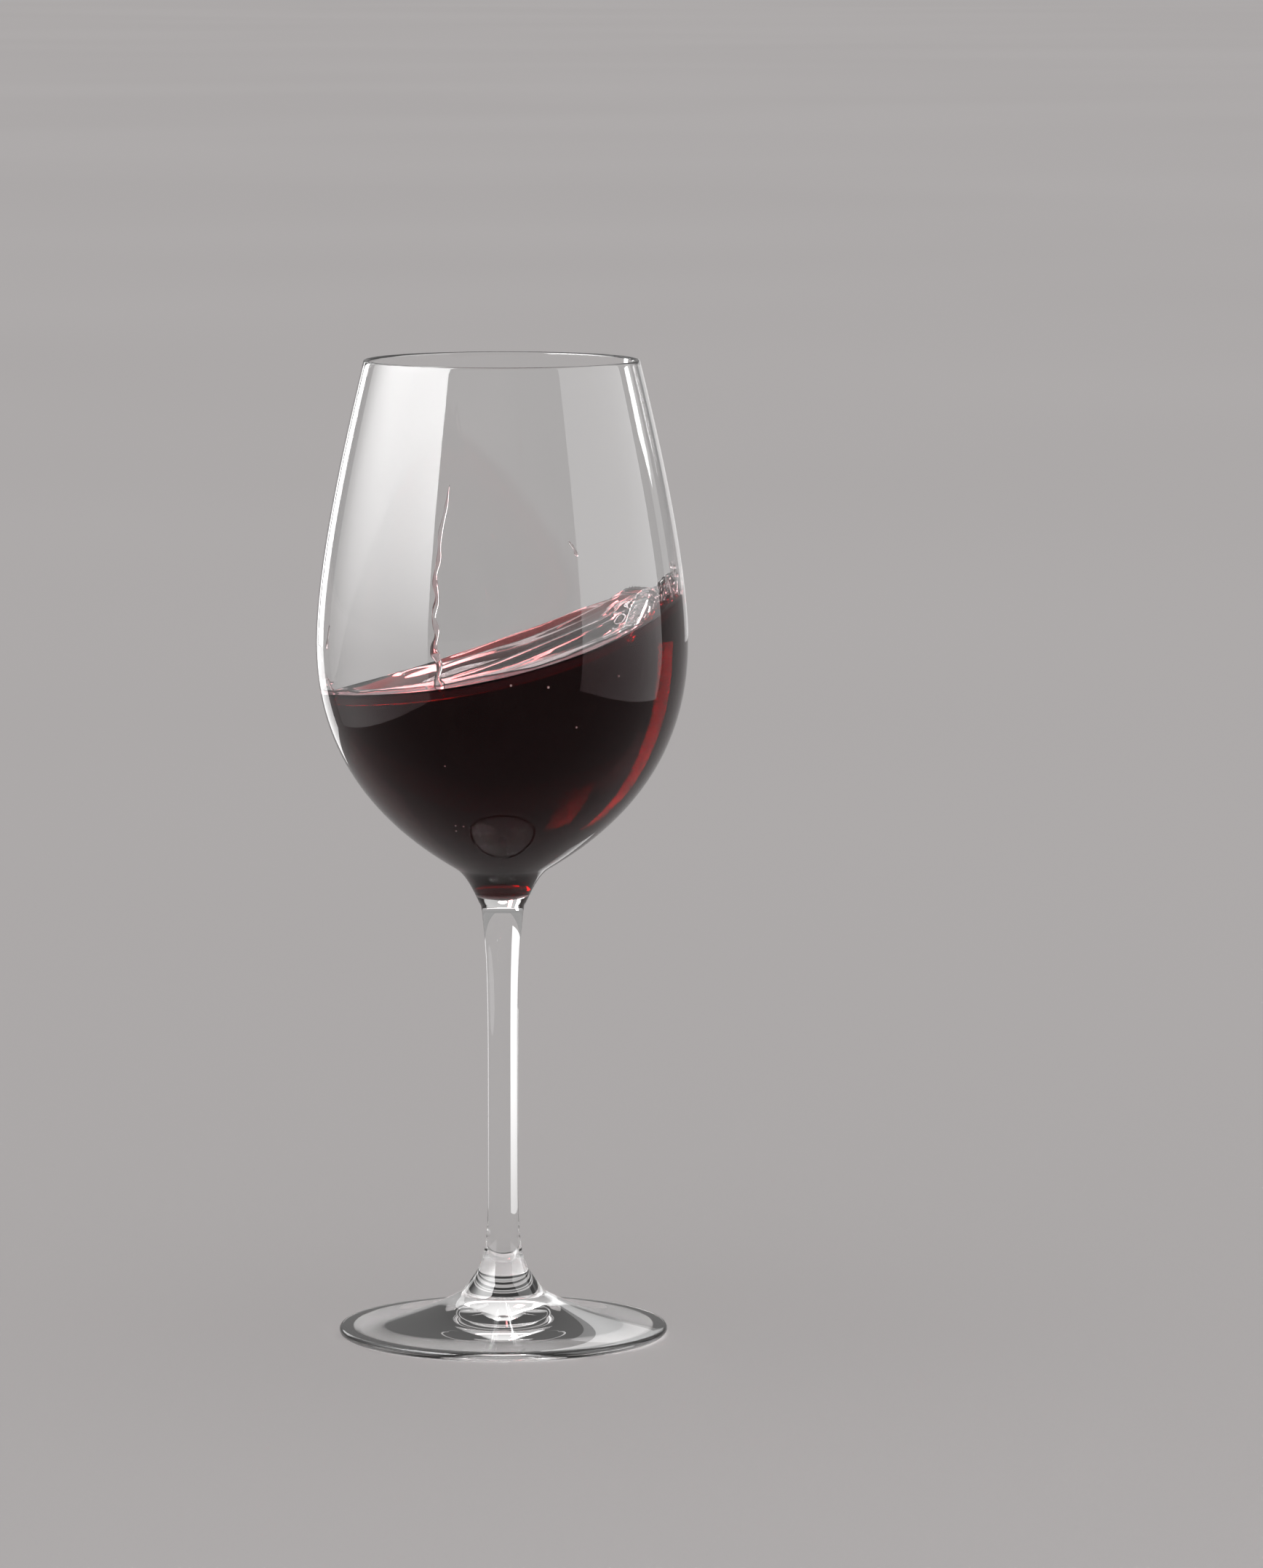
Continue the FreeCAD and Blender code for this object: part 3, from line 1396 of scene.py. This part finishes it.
@dataclass
class WallBeads:
    """Small round beads scattered over a stretch of the inside of the wall.

    Angles are degrees round the axis from +X.
    """

    name: str
    glass: BlownGlass
    count: int
    angles: tuple[float, float]
    heights: tuple[float, float]
    radii: tuple[float, float]
    seed: int
    sunk: float = 0.2
    rows: int = 8
    columns: int = 14

    def build(self, material: bpy.types.Material) -> bpy.types.Object:
        """Makes the beads as one piece.

        Args:
            material: Their finish.

        Returns:
            The finished piece.
        """
        draw = random.Random(self.seed)
        points = []
        faces = []
        for _ in range(self.count):
            turn = math.radians(draw.uniform(*self.angles))
            height = draw.uniform(*self.heights)
            radius = draw.uniform(*self.radii)
            reach = float(self.glass.inside_radius(height)) - radius * self.sunk
            middle = np.array([reach * math.cos(turn), reach * math.sin(turn), height])
            first = len(points)
            for tilt in np.linspace(0.0, math.pi, self.rows + 1)[1:-1]:
                level = middle - np.array([0.0, 0.0, radius * math.cos(tilt)])
                ring = radius * math.sin(tilt)
                for around in np.linspace(0.0, 2 * math.pi, self.columns, endpoint=False):
                    points.append(level + ring * np.array([math.cos(around), math.sin(around), 0.0]))
            tip = len(points)
            points += [middle - np.array([0.0, 0.0, radius]), middle + np.array([0.0, 0.0, radius])]
            faces += [tuple(v + first for v in face) for face in ring_faces(self.rows - 1, self.columns)]
            faces += cap_faces(tip, first, self.columns, above=False)
            faces += cap_faces(tip + 1, tip - self.columns, self.columns, above=True)
        piece = new_piece(self.name, np.array(points), faces)
        piece.data.materials.append(material)
        declare(piece, Slot.WINE)
        return piece


@dataclass(frozen=True)
class Spray:
    """The drips that the swirl throws up on the high side. Angles are degrees round the axis from +X."""

    count: int = 9
    first_angle: float = -29.0
    spread: float = 36.0
    stray: float = 1.2
    tops: tuple[float, float] = (0.1770, 0.1835)
    lengths: tuple[float, float] = (0.0045, 0.0095)
    half_widths: tuple[float, float] = (0.00045, 0.00075)
    drifts: tuple[float, float] = (-7.0, 3.0)
    bead_places: tuple[float, float] = (0.5, 0.8)
    seed: int = 11

    def strands(self) -> list[Strand]:
        """Draws the drips.

        Returns:
            The drips, in order round the axis.
        """
        draw = random.Random(self.seed)
        drips = []
        for i in range(self.count):
            angle = self.first_angle + self.spread * i / (self.count - 1)
            angle += draw.uniform(-self.stray, self.stray)
            top = draw.uniform(*self.tops)
            length = draw.uniform(*self.lengths)
            half = draw.uniform(*self.half_widths)
            drift = draw.uniform(*self.drifts)
            bead = top - length * draw.uniform(*self.bead_places)
            drips.append(
                Strand(
                    name=f"drip_high_{i + 1}",
                    angle=angle,
                    top=top,
                    bottom=top - length,
                    half_width=half,
                    drift=drift,
                    sway=0.8,
                    turns=1.5,
                    phase=0.1 * i,
                    beads=(bead,),
                )
            )
        return drips


@dataclass
class ClingingWine:
    """All the wine that hangs on the wall above the surface, and the bubbles at it."""

    glass: BlownGlass
    wine: SwirledWine
    spray: Spray = Spray()

    def legs(self) -> list[Strand]:
        """The long leg on the front left and the short one on the front right.

        Returns:
            The two legs.
        """
        long_leg = Strand(
            name="leg_long",
            angle=-108.8,
            top=0.2050,
            bottom=0.1566,
            half_width=0.00068,
            drift=-0.4,
            bow=-2.4,
            sway=0.72,
            turns=5.2,
            phase=0.1,
            beads=(0.1662, 0.1590),
        )
        short_leg = Strand(
            name="leg_short",
            angle=-67.6,
            top=0.1922,
            bottom=0.1886,
            half_width=0.00036,
            drift=3.2,
            sway=0.3,
            turns=1.0,
        )
        return [long_leg, short_leg]

    def low_drips(self) -> list[Strand]:
        """The drips on the low side.

        Returns:
            The three drips.
        """
        return [
            Strand(
                name="drip_low_a",
                angle=-172.0,
                top=0.1610,
                bottom=0.1555,
                half_width=0.00060,
                drift=5.5,
                sway=0.4,
                turns=1.0,
                phase=0.3,
                beads=(0.1575,),
            ),
            Strand(
                name="drip_low_b",
                angle=-158.6,
                top=0.1708,
                bottom=0.1650,
                half_width=0.00040,
                drift=-2.0,
                sway=0.3,
                turns=1.0,
            ),
            Strand(
                name="drip_low_c",
                angle=-161.0,
                top=0.1585,
                bottom=0.1532,
                half_width=0.00055,
                drift=6.0,
                sway=0.4,
                turns=1.0,
                phase=0.6,
                beads=(0.1545,),
            ),
        ]

    def film(self) -> WallSheet:
        """The film that the wine leaves just above its front edge.

        Returns:
            The film, not built yet.
        """
        return WallSheet(
            name="film_front",
            wine=self.wine,
            first_angle=-178.0,
            last_angle=-14.0,
            peak_share=0.5,
            peak_height=0.0021,
            thickness=0.00008,
            steepness=0.06,
            rag=0.25,
            rim_bead=0.00022,
            seed=4.2,
            columns=260,
            rows=24,
        )

    def crest_folds(self) -> list[WallSheet]:
        """The clear, folded lip of the crest.

        Returns:
            The sheets, from the front to the back.
        """
        return [
            WallSheet(
                name="crest_blade",
                wine=self.wine,
                first_angle=-47.0,
                last_angle=-30.0,
                peak_share=0.72,
                peak_height=0.0080,
                thickness=0.0006,
                fold_height=0.0036,
                folds=2.2,
                fold_lean=-1.5,
                steepness=1.0,
                rag=0.1,
                seed=1.7,
            ),
            WallSheet(
                name="crest_curl",
                wine=self.wine,
                first_angle=-39.0,
                last_angle=-17.0,
                peak_share=0.35,
                peak_height=0.0064,
                thickness=0.0006,
                fold_height=0.0038,
                folds=5.0,
                fold_lean=2.6,
                steepness=0.7,
                rag=0.5,
                seed=6.3,
            ),
            WallSheet(
                name="crest_spray",
                wine=self.wine,
                first_angle=-31.0,
                last_angle=-10.0,
                peak_share=0.25,
                peak_height=0.0066,
                thickness=0.0003,
                fold_height=0.0016,
                folds=6.0,
                fold_lean=1.8,
                steepness=0.8,
                rag=0.8,
                seed=8.8,
            ),
            WallSheet(
                name="crest_back",
                wine=self.wine,
                first_angle=-14.0,
                last_angle=26.0,
                peak_share=0.35,
                peak_height=0.0052,
                thickness=0.0003,
                fold_height=0.0016,
                folds=7.0,
                fold_lean=2.0,
                steepness=0.8,
                rag=0.5,
                seed=3.3,
            ),
        ]

    def crest_root(self) -> WallSheet:
        """The dark foot of the crest, where the wine is still thick.

        Returns:
            The sheet, not built yet.
        """
        return WallSheet(
            name="crest_root",
            wine=self.wine,
            first_angle=-44.0,
            last_angle=-10.0,
            peak_share=0.45,
            peak_height=0.0036,
            thickness=0.0008,
            fold_height=0.0034,
            folds=6.0,
            fold_lean=3.0,
            steepness=0.6,
            rag=0.5,
            seed=2.9,
        )

    def splashes(self) -> list[WallBeads]:
        """The beads that the swirl threw on the wall, above the high side and above the low side.

        Returns:
            The two groups of beads.
        """
        high = WallBeads(
            name="beads_high",
            glass=self.glass,
            count=34,
            angles=(-24.0, 12.0),
            heights=(0.1745, 0.1840),
            radii=(0.00022, 0.00060),
            seed=3,
        )
        low = WallBeads(
            name="beads_low",
            glass=self.glass,
            count=7,
            angles=(-176.0, -158.0),
            heights=(0.1560, 0.1625),
            radii=(0.0002, 0.0005),
            seed=8,
        )
        return [high, low]

    def bubbles(self) -> list[WallBeads]:
        """The bubbles on the wall, near the surface and deeper in the wine.

        Returns:
            The two groups of bubbles.
        """
        above = WallBeads(
            name="bubbles_above",
            glass=self.glass,
            count=5,
            angles=(-140.0, -30.0),
            heights=(0.1585, 0.1625),
            radii=(0.00022, 0.00034),
            seed=21,
        )
        below = WallBeads(
            name="bubbles_below",
            glass=self.glass,
            count=5,
            angles=(-125.0, -60.0),
            heights=(0.1215, 0.1560),
            radii=(0.00018, 0.00028),
            seed=4,
        )
        return [above, below]

    def build(self, wine_material: bpy.types.Material) -> None:
        """Makes every strand, sheet, bead and bubble.

        Args:
            wine_material: Finish of the thick wine.
        """
        self.crest_root().build(wine_material)
        clear = ThinWine("thin_wine").material()
        film = ThinWine("wine_film", tint_low=(0.72, 0.44, 0.47), tint_high=(0.86, 0.62, 0.64)).material()
        # Painted glint: the bubbles are opaque and pale, so that they show as bright specks.
        painted_glint_bubbles = PaleGlintBubbles("painted_glint_bubbles").material()
        for strand in self.legs() + self.low_drips() + self.spray.strands():
            WallStrand(strand, self.glass).build(clear)
        self.film().build(film)
        for splash in self.crest_folds() + self.splashes():
            splash.build(clear)
        for group in self.bubbles():
            group.build(painted_glint_bubbles)


# ---------------------------------------------------------------------------------------------------
# The studio
# ---------------------------------------------------------------------------------------------------


class Seen(Enum):
    """How a panel shows: straight off the outside of the glass, or by light that has passed into it."""

    REFLECTED = "reflected"
    REFRACTED = "refracted"


@dataclass(frozen=True)
class Softbox:
    """A panel of soft light that faces the glass."""

    name: str
    seen: Seen
    azimuth: float
    distance: float
    width: float
    bottom: float
    top: float
    radiance: float
    low_share: float = 1.0
    fade: tuple[float, float] = (0.0, 1.0)
    side_share: float = 1.0
    side_fade: float = 0.55
    colour: Colour = (1.0, 1.0, 1.0)

    def build(self) -> None:
        """Places the light. Azimuth 0 is at the camera, and grows towards +X."""
        tall = self.top - self.bottom
        light = bpy.data.lights.new(self.name, "AREA")
        light.shape = "RECTANGLE"
        light.size = self.width
        light.size_y = tall
        light.energy = self.radiance * math.pi * self.width * tall
        light.color = self.colour
        panel = bpy.data.objects.new(self.name, light)
        angle = math.radians(self.azimuth)
        panel.location = (
            self.distance * math.sin(angle),
            -self.distance * math.cos(angle),
            (self.top + self.bottom) / 2,
        )
        panel.rotation_euler = (math.radians(90.0), 0.0, angle)
        panel.visible_camera = False
        panel.visible_diffuse = False
        panel.visible_glossy = self.seen is Seen.REFLECTED
        panel.visible_transmission = self.seen is Seen.REFRACTED
        bpy.context.scene.collection.objects.link(panel)
        self.grade(light)

    def grade(self, light: bpy.types.AreaLight) -> None:
        """Makes the panel dimmer towards its foot and one of its sides.

        Args:
            light: The panel's light.
        """
        light.use_nodes = True
        tree = light.node_tree
        emission = next(n for n in tree.nodes if n.type == "EMISSION")
        place = tree.nodes.new("ShaderNodeNewGeometry")
        split = tree.nodes.new("ShaderNodeSeparateXYZ")
        up = tree.nodes.new("ShaderNodeMapRange")
        up.interpolation_type = "SMOOTHSTEP"
        up.inputs["From Min"].default_value = self.fade[0]
        up.inputs["From Max"].default_value = self.fade[1]
        up.inputs["To Min"].default_value = self.low_share
        side = tree.nodes.new("ShaderNodeMapRange")
        side.interpolation_type = "SMOOTHSTEP"
        side.inputs["From Max"].default_value = self.side_fade
        side.inputs["To Min"].default_value = self.side_share
        product = tree.nodes.new("ShaderNodeMath")
        product.operation = "MULTIPLY"
        tree.links.new(place.outputs["Parametric"], split.inputs[0])
        tree.links.new(split.outputs["Y"], up.inputs["Value"])
        tree.links.new(split.outputs["X"], side.inputs["Value"])
        tree.links.new(up.outputs["Result"], product.inputs[0])
        tree.links.new(side.outputs["Result"], product.inputs[1])
        tree.links.new(product.outputs[0], emission.inputs["Strength"])


@dataclass
class Studio:
    """Floor, lights and camera."""

    camera_distance: float = 1.817
    camera_height: float = 0.3414
    camera_pitch: float = 6.591
    camera_pan: float = 0.964
    lens: float = 177.4
    floor_reach: float = 60.0
    sensor_width: float = 36.0
    nearest: float = 0.05
    farthest: float = 200.0
    sky_low: float = 0.31
    sky_high: float = 1.02
    sky_colour: Colour = (1.0, 0.985, 0.98)
    softboxes: list[Softbox] = field(default_factory=list)

    def build(self) -> None:
        """Makes everything that isn't part of the glass of wine."""
        self.lay_floor()
        self.light_world()
        for softbox in self.softboxes:
            softbox.build()
        self.place_camera()

    def lay_floor(self) -> None:
        """Lays the floor under the foot."""
        reach = self.floor_reach
        corners = [(-reach, -reach, 0.0), (reach, -reach, 0.0), (reach, reach, 0.0), (-reach, reach, 0.0)]
        floor = new_piece("floor", np.array(corners), [(0, 1, 2, 3)])
        floor.data.materials.append(PaleFloor().material())

    def light_world(self) -> None:
        """Lights the room softly, and more from above."""
        world = bpy.data.worlds.new("studio")
        bpy.context.scene.world = world
        world.use_nodes = True
        tree = world.node_tree
        background = next(n for n in tree.nodes if n.type == "BACKGROUND")
        background.inputs["Color"].default_value = (*self.sky_colour, 1.0)
        place = tree.nodes.new("ShaderNodeTexCoord")
        split = tree.nodes.new("ShaderNodeSeparateXYZ")
        rise = tree.nodes.new("ShaderNodeMapRange")
        rise.interpolation_type = "SMOOTHSTEP"
        rise.inputs["From Min"].default_value = 0.0
        rise.inputs["From Max"].default_value = 1.0
        rise.inputs["To Min"].default_value = self.sky_low
        rise.inputs["To Max"].default_value = self.sky_high
        tree.links.new(place.outputs["Generated"], split.inputs[0])
        tree.links.new(split.outputs["Z"], rise.inputs["Value"])
        tree.links.new(rise.outputs["Result"], background.inputs["Strength"])

    def place_camera(self) -> None:
        """Puts the camera in front of the glass, a little above its lip, looking down."""
        data = bpy.data.cameras.new("camera")
        data.lens = self.lens
        data.sensor_width = self.sensor_width
        data.clip_start = self.nearest
        data.clip_end = self.farthest
        camera = bpy.data.objects.new("camera", data)
        camera.location = (0.0, -self.camera_distance, self.camera_height)
        tilt = math.radians(90.0 - self.camera_pitch)
        camera.rotation_euler = (tilt, 0.0, math.radians(-self.camera_pan))
        bpy.context.scene.collection.objects.link(camera)
        bpy.context.scene.camera = camera
        bpy.context.scene.view_settings.view_transform = "Standard"


def side_softboxes() -> list[Softbox]:
    """The panels that show as reflections: a bright one on the left, a dim one on the right, and edges.

    Returns:
        The panels.
    """
    return [
        Softbox(
            name="left_panel",
            seen=Seen.REFLECTED,
            azimuth=-86.0,
            distance=0.27,
            width=0.49,
            bottom=0.03,
            top=0.62,
            radiance=12.5,
            low_share=0.12,
            fade=(0.15, 0.55),
            side_share=0.12,
        ),
        Softbox(
            name="left_edge_panel",
            seen=Seen.REFLECTED,
            azimuth=-147.5,
            distance=0.30,
            width=0.10,
            bottom=0.06,
            top=0.62,
            radiance=2.0,
        ),
        Softbox(
            name="right_panel",
            seen=Seen.REFLECTED,
            azimuth=80.0,
            distance=0.36,
            width=0.45,
            bottom=0.04,
            top=0.62,
            radiance=2.2,
            low_share=0.6,
            fade=(0.05, 0.35),
        ),
        Softbox(
            name="right_strip",
            seen=Seen.REFLECTED,
            azimuth=130.0,
            distance=1.50,
            width=0.24,
            bottom=0.20,
            top=1.00,
            radiance=0.6,
        ),
        Softbox(
            name="back_right_panel",
            seen=Seen.REFLECTED,
            azimuth=163.0,
            distance=0.50,
            width=0.20,
            bottom=0.12,
            top=0.26,
            radiance=0.6,
        ),
        Softbox(
            name="foot_panel",
            seen=Seen.REFLECTED,
            azimuth=163.0,
            distance=0.12,
            width=0.05,
            bottom=0.028,
            top=0.06,
            radiance=1.2,
            low_share=0.3,
        ),
    ]


def wine_softboxes() -> list[Softbox]:
    """The panels that glow through the wine and light its surface.

    Returns:
        The panels.
    """
    return [
        Softbox(
            name="glow_strip",
            seen=Seen.REFRACTED,
            azimuth=-147.5,
            distance=0.30,
            width=0.047,
            bottom=0.138,
            top=0.80,
            radiance=70.0,
        ),
        Softbox(
            name="glow_panel",
            seen=Seen.REFRACTED,
            azimuth=-167.0,
            distance=0.30,
            width=0.036,
            bottom=0.225,
            top=0.30,
            radiance=22.0,
            low_share=0.4,
            fade=(0.0, 0.5),
            side_share=0.3,
            colour=(1.0, 0.3, 0.3),
        ),
        Softbox(
            name="back_panel",
            seen=Seen.REFRACTED,
            azimuth=180.0,
            distance=0.60,
            width=0.90,
            bottom=0.285,
            top=0.37,
            radiance=1.6,
            colour=(1.0, 0.84, 0.84),
        ),
        Softbox(
            name="high_left_panel",
            seen=Seen.REFRACTED,
            azimuth=-100.0,
            distance=0.35,
            width=0.50,
            bottom=0.40,
            top=0.80,
            radiance=3.0,
        ),
    ]


def stem_softboxes() -> list[Softbox]:
    """The low panels behind the stem, which show as strips along it.

    Returns:
        The panels.
    """
    return [
        Softbox(
            name="stem_panel_left",
            seen=Seen.REFRACTED,
            azimuth=-138.5,
            distance=0.13,
            width=0.10,
            bottom=0.0,
            top=0.095,
            radiance=0.75,
            low_share=0.5,
            fade=(0.0, 0.5),
        ),
        Softbox(
            name="stem_panel_right",
            seen=Seen.REFRACTED,
            azimuth=107.0,
            distance=0.13,
            width=0.05,
            bottom=0.0,
            top=0.095,
            radiance=0.7,
            low_share=0.5,
            fade=(0.0, 0.5),
        ),
    ]


def main() -> None:
    """Builds the pieces in order, then the studio."""
    logging.basicConfig(level=logging.INFO, format="%(name)s: %(message)s")
    glass = BlownGlass.from_frame()
    wine = SwirledWine(glass)
    glass.build(wine)
    wine_finish = RedWine("red_wine", bottom=float(glass.inner[0][1])).material()
    wine.build(wine_finish)
    ClingingWine(glass, wine).build(wine_finish)
    Studio(softboxes=side_softboxes() + wine_softboxes() + stem_softboxes()).build()


if __name__ == "__main__":
    main()
